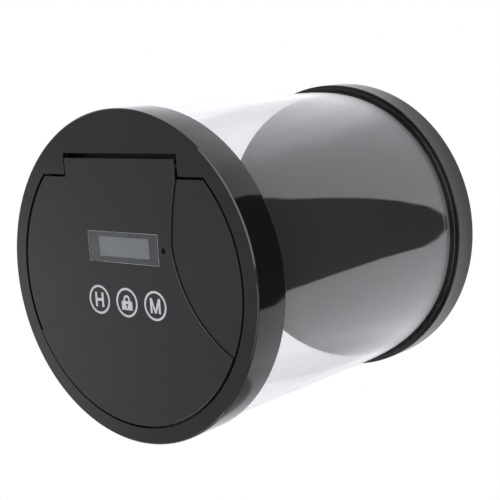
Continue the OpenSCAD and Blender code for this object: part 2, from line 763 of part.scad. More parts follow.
module lead_connectors() color("#d9d6cc") for (x = connector_xs)
    bar(x - connector_w / 2, x + connector_w / 2, connector_y - connector_l, connector_y,
        z_board_under - connector_h, z_board_under);

// A pair of leads, one under the other, along a way
module lead_pair(way) {
    for (i = [0, 1]) swept(smooth_way([for (p = way) p - [0, 0, lead_gap * i]]), lead_d / 2, 8, [0, 0, 1]);
}

module motor_leads() color("#b03030") lead_pair(motor_lead_way);

module battery_leads() color("#303030") lead_pair(battery_lead_way);

// ---- Tray and battery bay ----

module door_tray() color("#1a1a1c") difference() {
    union() {
        translate([0, 0, z_door_low]) linear_extrude(tray_t) cut_disc(skirt_r, skirt_y);
        bar(-bay_in_l / 2 - bay_wall, bay_in_l / 2 + bay_wall, bay_y0 - bay_wall, bay_y1 + bay_wall,
            z_door_low + tray_t / 2, z_bay_top + bay_wall);
        bar(motor_x, motor_x + motor_l - 1, pinion_y - motor_w / 2 - clamp_foot, pinion_y + motor_w / 2 + clamp_foot,
            z_tray - sink, z_clamp_foot);
        for (side = [-1, 1]) {
            translate([side * keeper_post_x, keeper_y, z_tray - sink])
                cylinder(r = post_r, h = z_keeper - z_tray + sink);
            translate([side * (bolt_w / 2 + bolt_gap + 0.6), 0, 0])
                bar(-0.6, 0.6, keeper_y - keeper_half_y, rack_y1, z_tray - sink, z_bolt_top - addendum * 3);
        }
    }
    bar(-bay_in_l / 2, bay_in_l / 2, bay_y0, bay_y1, z_door_low - cut, z_bay_top);
    bar(-hatch_half_l, hatch_half_l, hatch_y0, hatch_y1, z_door_low - cut, z_hatch_top + 0.1);
    round_bar(hatch_stub_r + 0.06, hatch_pin_y, z_hatch + hatch_r, hatch_half_l + hatch_stub_l);
    translate([0, hatch_y0, z_door_low + 1 - groove_r]) rotate([0, 90, 0])
        cylinder(r = groove_r, h = groove_w, center = true);
    tray_screw_places() {
        translate([0, 0, z_door_low - cut]) cylinder(r = big_screw[0] + head_gap, h = tray_t + 2 * cut);
        translate([0, 0, z_door_low - cut]) cylinder(r = big_screw[1] + head_gap, h = cut + tray_t / 2);
    }
    latch_screw_places(z_tray - 0.2) cylinder(r = small_screw[0] + screw_gap, h = motor_l);
}

module tray_screws() color("#8a8c90") tray_screw_places()
    translate([0, 0, z_door_low + tray_t / 2 - big_screw[2]]) screw(big_screw, tray_t / 2 + tray_screw_bite - 0.4);

module battery_door() color("#1f1f22") {
    half_l = hatch_half_l - hatch_gap;
    bar(-half_l, half_l, hatch_y0 + hatch_gap, hatch_pin_y, z_hatch, z_hatch_top);
    round_bar(hatch_r, hatch_pin_y, z_hatch + hatch_r, half_l);
    round_bar(hatch_stub_r, hatch_pin_y, z_hatch + hatch_r, hatch_half_l + hatch_stub_l - 0.2);
    bar(-4, 4, bay_y0 + 0.4, bay_y0 + 1.4, z_hatch, z_hatch_top + 0.6);
}

// Cell number i lies with its nub towards this side of the bay
function nub_side(i) = i % 2 == 1 ? -1 : 1;
function cell_y(i) = bay_y + (i - (CELLS + 1) / 2) * cell_pitch;

module battery_cell(i) color("#3d6fa8") translate([0, cell_y(i), z_cell]) rotate([0, 90, 0])
    mirror([0, 0, nub_side(i) > 0 ? 0 : 1]) translate([0, 0, bay_in_l / 2 - contact_t - cell_l]) {
        cylinder(d = cell_d, h = cell_l - nub_l);
        cylinder(r = nub_r, h = cell_l, $fn = 32);
    }

module contact_plates() color("#c9cbd0") for (i = [1:CELLS], side = [-1, 1])
    translate([side * (bay_in_l - contact_t) / 2, cell_y(i), z_cell])
        cube([contact_t, cell_d - 2, cell_d - 2], center = true);

module contact_springs() color("#c9cbd0") for (i = [1:CELLS])
    translate([-nub_side(i) * (bay_in_l / 2 - contact_t), cell_y(i), z_cell])
        rotate([0, nub_side(i) * 90, 0]) coil(2.8, 0.3, spring_room, 4);

// ---- Latch ----

module latch_screw_places(z) {
    for (side = [-1, 1]) {
        translate([side * keeper_post_x, keeper_y, z]) children();
        translate([clamp_x + clamp_l / 2, pinion_y + side * (motor_w / 2 + clamp_foot / 2), z]) children();
    }
}

module latch_motor() color("#b4b7bb") {
    gearbox_l = 0.4 * motor_l;
    bar(motor_x, motor_x + gearbox_l, pinion_y - motor_w / 2, pinion_y + motor_w / 2,
        z_pinion - motor_h / 2, z_pinion + motor_h / 2);
    translate([motor_x, pinion_y, z_pinion]) rotate([0, 90, 0]) intersection() {
        cylinder(d = motor_w, h = motor_l);
        translate([-motor_h / 2, -motor_w, 0]) cube([motor_h, 2 * motor_w, motor_l]);
    }
    translate([-pinion_w / 2, pinion_y, z_pinion]) rotate([0, 90, 0])
        cylinder(d = shaft_d, h = motor_x + pinion_w / 2 + cut, $fn = 48);
}

module motor_clamp() color("#c4c7cb") difference() {
    z0 = z_clamp_foot;
    half = motor_w / 2;
    union() {
        bar(clamp_x, clamp_x + clamp_l, pinion_y - half - clamp_t, pinion_y + half + clamp_t,
            z0, z_pinion + motor_h / 2 + clamp_t);
        bar(clamp_x, clamp_x + clamp_l, pinion_y - half - clamp_foot, pinion_y + half + clamp_foot, z0, z0 + clamp_t);
    }
    bar(clamp_x - cut, clamp_x + clamp_l + cut, pinion_y - half, pinion_y + half, z0 - cut, z_pinion + motor_h / 2);
    latch_screw_places(z0 - cut) cylinder(r = small_screw[0] + head_gap, h = clamp_t + 2 * cut);
}

module bolt_keeper() color("#c4c7cb") difference() {
    bar(-keeper_post_x - post_r, keeper_post_x + post_r, keeper_y - keeper_half_y, keeper_y + keeper_half_y,
        z_keeper, z_keeper + keeper_t);
    latch_screw_places(z_keeper - cut) cylinder(r = small_screw[0] + head_gap, h = keeper_t + 2 * cut);
}

module latch_screws() color("#8a8c90") for (side = [-1, 1]) {
    translate([side * keeper_post_x, keeper_y, z_keeper + keeper_t + small_screw[2]])
        mirror([0, 0, 1]) screw(small_screw, keeper_t + latch_screw_bite);
    translate([clamp_x + clamp_l / 2, pinion_y + side * (motor_w / 2 + clamp_foot / 2),
               z_clamp_foot + clamp_t + small_screw[2]])
        mirror([0, 0, 1]) screw(small_screw, clamp_t + latch_screw_bite);
}

// Half the angle of an involute tooth at radius r, in degrees
function involute(a) = tan(a) - a * PI / 180;
function half_tooth(r, base) = let (at_pitch = (rack_pitch / 2 - backlash) / 2 / pinion_r)
    (at_pitch + involute(pressure_angle) - involute(acos(min(1, base / r)))) * 180 / PI;

module pinion_outline() {
    base = pinion_r * cos(pressure_angle);
    root = pinion_r - dedendum;
    tip = pinion_r + addendum;
    steps = 6;
    radii = concat([root], [for (k = [0:steps]) base + (tip - base) * k / steps]);
    polygon([for (t = [0:pinion_teeth - 1], side = [-1, 1], k = [0:len(radii) - 1]) let (
        r = side < 0 ? radii[k] : radii[len(radii) - 1 - k],
        a = -90 + 360 * t / pinion_teeth + side * half_tooth(max(r, base), base)) r * [cos(a), sin(a)]]);
}

module drive_pinion() color("#d8b75c") translate([-pinion_w / 2, pinion_y, z_pinion]) rotate([90, 0, 90])
    difference() {
        linear_extrude(pinion_w) pinion_outline();
        translate([0, 0, -cut]) cylinder(d = shaft_d + 2 * screw_gap, h = pinion_w + 2 * cut, $fn = 48);
    }

// Side view of the bolt: a nose in front, the rack's teeth on top
module bolt_outline() {
    slope = tan(pressure_angle);
    half = (rack_pitch / 2 - backlash) / 2;
    z_root = z_rack - dedendum;
    first = ceil((rack_y0 - pinion_y) / rack_pitch);
    last = floor((rack_y1 - pinion_y) / rack_pitch);
    teeth = [for (k = [first:last - 1]) let (y = pinion_y + (k + 0.5) * rack_pitch) each [
        [y - half - dedendum * slope, z_root], [y - half + addendum * slope, z_rack + addendum],
        [y + half - addendum * slope, z_rack + addendum], [y + half + dedendum * slope, z_root]]];
    lead_in = 1;
    polygon(concat(
        [[bolt_y0 + lead_in, z_bolt], [bolt_y0, z_bolt + lead_in], [bolt_y0, z_bolt_top],
         [rack_y0 - 1, z_bolt_top], [rack_y0 - 1, z_root]],
        teeth, [[rack_y1 + 1, z_root], [rack_y1 + 1, z_bolt]]));
}

module latch_bolt() color("#d8d9da") translate([-bolt_w / 2, 0, 0]) rotate([90, 0, 90])
    linear_extrude(bolt_w) bolt_outline();

base_shell();
base_plate();
base_screws();
base_feet();
clear_tube();
lid_ring();
lid_liner();
hinge_pin();
hinge_cover();
hinge_cover_screws();
door_shell();
front_panel();
display_lens();
hour_key_icon();
lock_key_icon();
minute_key_icon();
lcd_module();
circuit_board();
board_screws();
touch_springs();
status_led();
buzzer();
controller_chip();
lead_connectors();
motor_leads();
battery_leads();
door_tray();
tray_screws();
battery_door();
contact_plates();
contact_springs();
latch_motor();
motor_clamp();
drive_pinion();
latch_bolt();
bolt_keeper();
latch_screws();
for (i = [1:CELLS]) battery_cell(i);
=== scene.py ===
"""Timed lock container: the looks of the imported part, with its studio and camera."""

import json
from math import cos, pi, radians, sin

import bmesh
import bpy
from bpy.props import FloatProperty, FloatVectorProperty, IntProperty, PointerProperty
from bpy.types import Operator, Panel, PropertyGroup
from mathutils import Matrix, Vector


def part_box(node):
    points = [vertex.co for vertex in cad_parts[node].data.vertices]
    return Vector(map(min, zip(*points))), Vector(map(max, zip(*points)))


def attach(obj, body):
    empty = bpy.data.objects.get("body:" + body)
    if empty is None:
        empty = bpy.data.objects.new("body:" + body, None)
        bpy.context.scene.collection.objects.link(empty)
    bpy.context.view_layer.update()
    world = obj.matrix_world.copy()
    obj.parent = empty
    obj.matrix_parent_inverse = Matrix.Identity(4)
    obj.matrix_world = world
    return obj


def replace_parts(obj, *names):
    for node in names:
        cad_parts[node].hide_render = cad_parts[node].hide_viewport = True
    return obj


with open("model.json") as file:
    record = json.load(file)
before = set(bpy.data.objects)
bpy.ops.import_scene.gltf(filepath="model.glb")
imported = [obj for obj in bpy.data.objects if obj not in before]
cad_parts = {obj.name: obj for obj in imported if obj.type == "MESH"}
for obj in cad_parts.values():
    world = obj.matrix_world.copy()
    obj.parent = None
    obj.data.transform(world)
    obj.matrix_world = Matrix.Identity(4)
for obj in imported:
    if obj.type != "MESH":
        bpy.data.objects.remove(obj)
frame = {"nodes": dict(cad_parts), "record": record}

bl_info = {
    "name": "Timed Lock Container",
    "version": (1, 0, 0),
    "blender": (4, 5, 0),
    "location": "3D View > Sidebar > Lock Container",
    "description": "Dresses the packed lock container and sets up its studio",
    "category": "Object",
}

MM = 0.001
NODES = frame["nodes"]
BODIES = frame["record"]["behaviour"]["bodies"]
BODY_OF = {node: body for body, nodes in BODIES.items() for node in nodes}
FINISHES = {}

# Vertices nearer to each other than this are one: in a new piece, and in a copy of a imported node
MERGE_DISTANCE = 1e-7
COPY_MERGE_DISTANCE = 2e-6
# In a copy, faces that meet at less than the first angle become one, and edges over the second are rounded
FLAT_ANGLE = radians(0.4)
SHARP_ANGLE = radians(38)
# Faces that meet at less than this are shaded as one smooth surface
SMOOTH_ANGLE = radians(30)
ROUND_SIDES = 64
# Most values of a noise texture lie between these
NOISE_LOW = 0.3
NOISE_HIGH = 0.7
# The base's floor inside the tube is matt out to this radius
MATT_FLOOR_RADIUS = 78.2 * MM


# ---- Sizes and colours that a user would change ----

def length(name, description, default, low=0.0, high=1.0):
    """A length property, in metres."""
    return FloatProperty(name=name, description=description, default=default, min=low, max=high,
                         precision=5, subtype="DISTANCE", unit="LENGTH")


def colour(name, description, default):
    """A linear colour property."""
    return FloatVectorProperty(name=name, description=description, default=default, size=3,
                               min=0.0, max=1.0, subtype="COLOR")


class LockContainerSizes(PropertyGroup):
    """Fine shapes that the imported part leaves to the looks."""
    edge_round: length("Edge rounding", "Rounding of the moulded edges", 0.28 * MM, 0.02 * MM, 0.4 * MM)
    rim_round: length("Panel rim rounding", "Rounding of the front panel's outline",
                      0.5 * MM, 0.1 * MM, 0.7 * MM)
    base_edge_round: length("Base edge rounding", "Rounding of the base's edges",
                            0.12 * MM, 0.02 * MM, 0.3 * MM)
    tube_round: length("Tube edge rounding", "Polished rounding of the tube's ends",
                       0.4 * MM, 0.1 * MM, 1.0 * MM)
    tube_sides: IntProperty(name="Tube sides", description="Steps round the tube",
                            default=256, min=64, max=512)
    foot_round: length("Foot rounding", "Rounding of a rubber foot's edge", 0.3 * MM, 0.05 * MM, 0.7 * MM)
    lens_edge_round: length("Lens edge rounding", "Rounding of the display lens",
                            0.08 * MM, 0.02 * MM, 0.2 * MM)
    lens_glue: length("Lens glue", "Thin gap under the display lens", 0.04 * MM, 0.01 * MM, 0.1 * MM)
    outline_line: length("Display outline", "Width of the fine line round the display",
                         0.2 * MM, 0.05 * MM, 0.6 * MM)
    crimp_depth: length("Cell groove depth", "Depth of the crimp groove of a cell",
                        0.3 * MM, 0.1 * MM, 0.6 * MM)


class LockContainerColours(PropertyGroup):
    """Colours of the finishes."""
    gloss_black: colour("Gloss black", "Polished moulded plastic", (0.006, 0.006, 0.0065))
    satin_black: colour("Satin black", "Door and panel", (0.011, 0.011, 0.012))
    inner_black: colour("Inner black", "Liner, tray and base plate", (0.014, 0.014, 0.015))
    clear_tint: colour("Clear tint", "Tint of the clear tube", (0.915, 0.922, 0.932))
    ink_grey: colour("Ink", "Print of the keys", (0.66, 0.67, 0.69))
    display_grey: colour("Display", "Unlit face of the display", (0.335, 0.355, 0.37))
    lead_red: colour("Red lead", "Insulation of the motor's leads", (0.42, 0.02, 0.02))


class LockContainerStudio(PropertyGroup):
    """Floor, lights and camera."""
    cast: colour("Cast", "Colour that the studio has in reflections", (0.955, 0.965, 1.0))
    floor_radius: length("Floor radius", "Radius of the pale floor", 4.0, 1.0, 10.0)
    floor_shine: FloatProperty(name="Floor shine",
                               description="Brightness of the lit floor in reflections",
                               default=1.5, min=0.0, max=20.0)
    sky_light: FloatProperty(name="Sky light", description="Brightness of the studio's ceiling",
                             default=0.62, min=0.0, max=4.0)
    camera_distance: length("Camera distance", "From the camera to its aim", 0.6469, 0.3, 2.0)
    camera_azimuth: FloatProperty(name="Camera azimuth",
                                  description="Turn of the camera from +X towards +Y",
                                  default=radians(14.115), subtype="ANGLE", unit="ROTATION")
    camera_polar: FloatProperty(name="Camera polar angle",
                                description="Angle of the camera from straight above",
                                default=radians(41.087), subtype="ANGLE", unit="ROTATION")
    camera_roll: FloatProperty(name="Camera roll", description="Roll against the hinge's side being up",
                               default=radians(3.494), subtype="ANGLE", unit="ROTATION")
    camera_lens: FloatProperty(name="Camera lens", description="Focal length on a 36 mm sensor",
                               default=84.98, min=20.0, max=200.0, subtype="DISTANCE_CAMERA")


def sizes():
    return bpy.context.scene.lock_container_sizes


def colours():
    return bpy.context.scene.lock_container_colours


def studio():
    return bpy.context.scene.lock_container_studio


# ---- Materials ----

def cleared(owner):
    """The emptied node tree of a material or a world."""
    owner.use_nodes = True
    owner.node_tree.nodes.clear()
    return owner.node_tree


def math_node(tree, operation, *values):
    """The result of a math node on sockets and plain numbers."""
    node = tree.nodes.new("ShaderNodeMath")
    node.operation = operation
    for socket, value in zip(node.inputs, values):
        if isinstance(value, float):
            socket.default_value = value
        else:
            tree.links.new(value, socket)
    return node.outputs["Value"]


def distance_from_middle(tree, flat=False):
    """How far a point of an object lies from the object's middle, or when flat, from its upright axis."""
    place = tree.nodes.new("ShaderNodeTexCoord").outputs["Object"]
    if flat:
        level = tree.nodes.new("ShaderNodeVectorMath")
        level.operation = "MULTIPLY"
        level.inputs[1].default_value = (1.0, 1.0, 0.0)
        tree.links.new(place, level.inputs[0])
        place = level.outputs["Vector"]
    measure = tree.nodes.new("ShaderNodeVectorMath")
    measure.operation = "LENGTH"
    tree.links.new(place, measure.inputs[0])
    return measure.outputs["Value"]


def new_material(name):
    """A finish with its shader joined to the output."""
    material = bpy.data.materials.new(name + "_finish")
    tree = cleared(material)
    output = tree.nodes.new("ShaderNodeOutputMaterial")
    shader = tree.nodes.new("ShaderNodeBsdfPrincipled")
    tree.links.new(shader.outputs["BSDF"], output.inputs["Surface"])
    FINISHES[name] = material
    return material, tree, shader


def noise(tree, scale, detail=3.0, stretch=(1.0, 1.0, 1.0)):
    """Noise on the object's own coordinates; scale is in features a metre."""
    place = tree.nodes.new("ShaderNodeTexCoord")
    mapping = tree.nodes.new("ShaderNodeMapping")
    mapping.inputs["Scale"].default_value = stretch
    texture = tree.nodes.new("ShaderNodeTexNoise")
    texture.inputs["Scale"].default_value = scale
    texture.inputs["Detail"].default_value = detail
    tree.links.new(place.outputs["Object"], mapping.inputs["Vector"])
    tree.links.new(mapping.outputs["Vector"], texture.inputs["Vector"])
    return texture


def spread(tree, texture, low, high):
    """The noise spread between two values."""
    mapped = tree.nodes.new("ShaderNodeMapRange")
    mapped.inputs["From Min"].default_value = NOISE_LOW
    mapped.inputs["From Max"].default_value = NOISE_HIGH
    mapped.inputs["To Min"].default_value = low
    mapped.inputs["To Max"].default_value = high
    tree.links.new(texture.outputs["Fac"], mapped.inputs["Value"])
    return mapped.outputs["Result"]


def raise_bumps(tree, shader, texture, height, strength=1.0):
    """Bumps of a height, in metres, where the texture is light."""
    bump = tree.nodes.new("ShaderNodeBump")
    bump.inputs["Distance"].default_value = height
    bump.inputs["Strength"].default_value = strength
    tree.links.new(texture.outputs["Fac"], bump.inputs["Height"])
    tree.links.new(bump.outputs["Normal"], shader.inputs["Normal"])


def vary_colour(tree, shader, texture, base, amount):
    """Base colour that drifts a little lighter and darker."""
    ramp = tree.nodes.new("ShaderNodeValToRGB")
    ramp.color_ramp.elements[0].position = NOISE_LOW
    ramp.color_ramp.elements[1].position = NOISE_HIGH
    ramp.color_ramp.elements[0].color = [c * (1 - amount) for c in base] + [1.0]
    ramp.color_ramp.elements[1].color = [min(1.0, c * (1 + amount)) for c in base] + [1.0]
    tree.links.new(texture.outputs["Fac"], ramp.inputs["Fac"])
    tree.links.new(ramp.outputs["Color"], shader.inputs["Base Color"])


def moulded(name, base, rough, grain_scale, grain_height, drift=0.06, metallic=0.0, coat=0.0,
            stretch=(1.0, 1.0, 1.0)):
    """Moulded plastic, rubber or plated metal: a drifting colour, uneven roughness and a fine grain."""
    material, tree, shader = new_material(name)
    broad = noise(tree, 45.0, 4.0, stretch)
    vary_colour(tree, shader, broad, base, drift)
    tree.links.new(spread(tree, broad, rough[0], rough[1]), shader.inputs["Roughness"])
    raise_bumps(tree, shader, noise(tree, grain_scale, 2.0, stretch), grain_height)
    shader.inputs["Metallic"].default_value = metallic
    shader.inputs["IOR"].default_value = 1.5
    shader.inputs["Coat Weight"].default_value = coat
    shader.inputs["Coat Roughness"].default_value = 0.05
    return material


def matt_inside(material, radius, rough):
    """Makes a finish matt where it lies nearer to the object's upright axis than a radius."""
    tree = material.node_tree
    shader = next(node for node in tree.nodes if node.type == "BSDF_PRINCIPLED")
    polished = shader.inputs["Roughness"].links[0].from_socket
    pick = tree.nodes.new("ShaderNodeMix")
    pick.inputs["A"].default_value = rough
    outside = math_node(tree, "GREATER_THAN", distance_from_middle(tree, flat=True), radius)
    tree.links.new(outside, pick.inputs["Factor"])
    tree.links.new(polished, pick.inputs["B"])
    tree.links.new(pick.outputs["Result"], shader.inputs["Roughness"])


def clear_plastic(name, tint, rough, gloss=0.5):
    """Clear polished acrylic with the faintest waviness."""
    material, tree, shader = new_material(name)
    broad = noise(tree, 60.0, 2.0)
    tree.links.new(spread(tree, broad, rough[0], rough[1]), shader.inputs["Roughness"])
    raise_bumps(tree, shader, noise(tree, 12.0, 1.0), 0.02 * MM, 0.3)
    shader.inputs["Base Color"].default_value = (*tint, 1.0)
    shader.inputs["Transmission Weight"].default_value = 1.0
    shader.inputs["IOR"].default_value = 1.49
    shader.inputs["Specular IOR Level"].default_value = gloss
    return material


def finishes():
    """Every finish of the object, made once."""
    if FINISHES:
        return FINISHES
    c = colours()
    moulded("gloss_black", c.gloss_black, (0.05, 0.09), 900.0, 0.0006 * MM, 0.10)
    base = moulded("base_black", c.gloss_black, (0.05, 0.09), 900.0, 0.0006 * MM, 0.10)
    matt_inside(base, MATT_FLOOR_RADIUS, rough=0.5)
    moulded("satin_black", c.satin_black, (0.26, 0.33), 5200.0, 0.010 * MM, 0.08)
    moulded("wing_black", c.satin_black, (0.24, 0.31), 5200.0, 0.008 * MM, 0.08)
    moulded("inner_black", c.inner_black, (0.40, 0.55), 3600.0, 0.012 * MM, 0.08)
    moulded("foot_rubber", (0.03, 0.03, 0.03), (0.70, 0.85), 2500.0, 0.03 * MM, 0.15)
    moulded("key_ink", c.ink_grey, (0.50, 0.62), 6000.0, 0.004 * MM, 0.05)
    # Light grey of the fine line laid round the display lens
    moulded("outline_grey", (0.55, 0.555, 0.565), (0.40, 0.55), 6000.0, 0.003 * MM, 0.35)
    moulded("plated_steel", (0.58, 0.59, 0.60), (0.22, 0.34), 3000.0, 0.003 * MM, 0.05, 1.0,
            stretch=(1.0, 1.0, 6.0))
    moulded("spring_brass", (0.62, 0.42, 0.16), (0.22, 0.32), 3000.0, 0.003 * MM, 0.06, 1.0)
    moulded("contact_nickel", (0.66, 0.65, 0.62), (0.18, 0.30), 2600.0, 0.004 * MM, 0.05, 1.0)
    moulded("motor_steel", (0.50, 0.51, 0.52), (0.24, 0.38), 1800.0, 0.006 * MM, 0.06, 1.0,
            stretch=(6.0, 1.0, 1.0))
    moulded("solder_mask", (0.012, 0.10, 0.035), (0.22, 0.34), 1400.0, 0.010 * MM, 0.18, 0.0, 0.4)
    moulded("device_black", (0.012, 0.012, 0.013), (0.40, 0.52), 4200.0, 0.010 * MM, 0.10)
    moulded("natural_nylon", (0.72, 0.70, 0.64), (0.42, 0.55), 3200.0, 0.008 * MM, 0.05)
    moulded("acetal", (0.68, 0.68, 0.67), (0.34, 0.46), 3000.0, 0.006 * MM, 0.04)
    moulded("brass_gear", (0.60, 0.43, 0.18), (0.28, 0.38), 2600.0, 0.004 * MM, 0.05, 1.0)
    moulded("red_lead", c.lead_red, (0.38, 0.50), 2600.0, 0.006 * MM, 0.08)
    moulded("black_lead", (0.015, 0.015, 0.016), (0.38, 0.50), 2600.0, 0.006 * MM, 0.08)
    moulded("cell_sleeve", (0.05, 0.14, 0.32), (0.16, 0.26), 1500.0, 0.004 * MM, 0.05, 0.0, 0.5)
    moulded("display_face", c.display_grey, (0.20, 0.30), 5000.0, 0.002 * MM, 0.05)
    moulded("led_resin", (0.02, 0.02, 0.02), (0.28, 0.40), 2600.0, 0.004 * MM, 0.05)
    clear_plastic("clear_acrylic", c.clear_tint, (0.004, 0.012))
    clear_plastic("lens_acrylic", (0.88, 0.89, 0.90), (0.03, 0.06), 0.15)
    return FINISHES


# ---- Building helpers ----

def give_finish(node, finish):
    """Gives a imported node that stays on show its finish."""
    item = NODES[node]
    material = finishes()[finish]
    if item.material_slots:
        for place in item.material_slots:
            place.material = material
    else:
        item.data.materials.append(material)
    return item


def piece_from(bm, name, body, finish):
    """Turns a finished bmesh, already in place, into a piece that rides on a body."""
    bmesh.ops.remove_doubles(bm, verts=bm.verts, dist=MERGE_DISTANCE)
    mesh = bpy.data.meshes.new(name)
    bm.to_mesh(mesh)
    bm.free()
    mesh.polygons.foreach_set("use_smooth", [True] * len(mesh.polygons))
    mesh.set_sharp_from_angle(angle=SMOOTH_ANGLE)
    mesh.materials.append(finishes()[finish])
    piece = bpy.data.objects.new(name, mesh)
    bpy.context.scene.collection.objects.link(piece)
    weigh = piece.modifiers.new("even_shading", "WEIGHTED_NORMAL")
    weigh.keep_sharp = True
    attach(piece, body)
    return piece


def turned(profile, steps, axis=(0, 0, 1), centre=(0, 0, 0), closed=True):
    """A solid of revolution: from a closed profile off the axis, or an open one that ends on it."""
    bm = bmesh.new()
    points = [bm.verts.new(p) for p in profile]
    pairs = list(zip(points, points[1:])) + ([(points[-1], points[0])] if closed else [])
    edges = [bm.edges.new(pair) for pair in pairs]
    bmesh.ops.spin(bm, geom=points + edges, cent=centre, axis=axis, angle=2 * pi, steps=steps,
                   use_merge=True, use_duplicate=False)
    bmesh.ops.remove_doubles(bm, verts=bm.verts, dist=MERGE_DISTANCE)
    bmesh.ops.recalc_face_normals(bm, faces=bm.faces)
    return bm


def sharp_edges(bm):
    """The edges that a mould would round."""
    return [e for e in bm.edges if len(e.link_faces) == 2 and e.calc_face_angle(0.0) > SHARP_ANGLE]


def round_edges(bm, edges, width, steps=2):
    """Rounds edges in a few steps."""
    bmesh.ops.bevel(bm, geom=edges, offset=width, offset_type="OFFSET", segments=steps, profile=0.5,
                    affect="EDGES", clamp_overlap=True, material=-1)


def eased_copy(node, name, finish, width, lift=0.0, in_rim=None):
    """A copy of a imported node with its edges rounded, in its place.

    lift raises its underside off its seat, and in_rim picks the edges that get the wider rounding of a rim.
    """
    bm = bmesh.new()
    bm.from_mesh(NODES[node].data)
    bmesh.ops.remove_doubles(bm, verts=bm.verts, dist=COPY_MERGE_DISTANCE)
    bmesh.ops.dissolve_limit(bm, angle_limit=FLAT_ANGLE, verts=bm.verts, edges=bm.edges)
    if in_rim:
        round_edges(bm, [e for e in sharp_edges(bm) if in_rim(e)], sizes().rim_round)
    round_edges(bm, sharp_edges(bm), width)
    seat = min(v.co.z for v in bm.verts)
    for vert in bm.verts:
        if vert.co.z < seat + width:
            vert.co.z += lift
    piece = piece_from(bm, name, BODY_OF[node], finish)
    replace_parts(piece, node)
    return piece


def extent(node):
    """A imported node's lowest and highest corner at rest."""
    low, high = (Vector(corner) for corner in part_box(node))
    return low, high


# ---- Operators: the object's pieces ----

class LOCKCONTAINER_OT_base(Operator):
    """Gloss base with its plate, screws and rubber feet"""
    bl_idname = "lockcontainer.base"
    bl_label = "Base"
    FOOT_RADIUS = 7.0 * MM
    FOOT_RIM = 1.2 * MM
    FOOT_DISH = 0.25 * MM
    FOOT_CORNER = radians(60)
    NEAR_SOLE = 0.01 * MM

    def execute(self, context):
        eased_copy("base_shell", "base_moulding", "base_black", sizes().base_edge_round)
        give_finish("base_plate", "inner_black")
        give_finish("base_screws", "plated_steel")
        self.make_feet()
        return {"FINISHED"}

    def make_feet(self):
        """Rubber feet with a rounded edge and a shallow dish underneath."""
        low, high = extent("base_feet")
        foot_r = self.FOOT_RADIUS
        reach = (high.x - low.x) / 2 - foot_r
        bm = bmesh.new()
        for side_x in (-1, 1):
            for side_y in (-1, 1):
                spot = Matrix.Translation((side_x * reach, side_y * reach, (low.z + high.z) / 2))
                made = bmesh.ops.create_cone(bm, cap_ends=True, segments=ROUND_SIDES, radius1=foot_r,
                                             radius2=foot_r, depth=high.z - low.z, matrix=spot)
                faces = {f for v in made["verts"] for f in v.link_faces}
                sole = [f for f in faces if f.normal.z < -0.9]
                bmesh.ops.inset_region(bm, faces=sole, thickness=self.FOOT_RIM, depth=0.0)
                bmesh.ops.inset_region(bm, faces=sole, thickness=self.FOOT_DISH, depth=0.0)
                dish = list({v for f in sole for v in f.verts})
                bmesh.ops.translate(bm, verts=dish, vec=(0, 0, self.FOOT_DISH))
        edges = [e for e in sharp_edges(bm) if e.calc_face_angle(0.0) > self.FOOT_CORNER
                 and all(abs(v.co.z - low.z) < self.NEAR_SOLE for v in e.verts)]
        round_edges(bm, edges, sizes().foot_round, steps=3)
        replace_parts(piece_from(bm, "rubber_feet", "container", "foot_rubber"), "base_feet")


class LOCKCONTAINER_OT_tube(Operator):
    """Clear tube with polished, rounded ends"""
    bl_idname = "lockcontainer.tube"
    bl_label = "Clear tube"
    WALL = 2.5 * MM
    ROUND_STEPS = 3

    def execute(self, context):
        low, high = extent("clear_tube")
        outer = (high.x - low.x) / 2
        inner = outer - self.WALL
        ease = sizes().tube_round
        corners = [(inner, low.z, 1, 1), (outer, low.z, -1, 1),
                   (outer, high.z, -1, -1), (inner, high.z, 1, -1)]
        profile = []
        for n, (r, z, in_r, in_z) in enumerate(corners):
            for step in range(self.ROUND_STEPS + 1):
                angle = 90 / self.ROUND_STEPS * step
                turn = radians(90 - angle) if n % 2 == 0 else radians(angle)
                profile.append((r + in_r * ease * (1 - sin(turn)), 0, z + in_z * ease * (1 - cos(turn))))
        wall = turned(profile, sizes().tube_sides)
        piece = piece_from(wall, "tube_wall", "container", "clear_acrylic")
        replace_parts(piece, "clear_tube")
        return {"FINISHED"}


class LOCKCONTAINER_OT_lid(Operator):
    """Lid ring, its liner and the hinge's fixed parts"""
    bl_idname = "lockcontainer.lid"
    bl_label = "Lid ring"

    def execute(self, context):
        eased_copy("lid_ring", "ring_moulding", "gloss_black", sizes().edge_round)
        give_finish("lid_liner", "inner_black")
        give_finish("hinge_cover", "inner_black")
        give_finish("hinge_pin", "plated_steel")
        give_finish("hinge_cover_screws", "plated_steel")
        return {"FINISHED"}


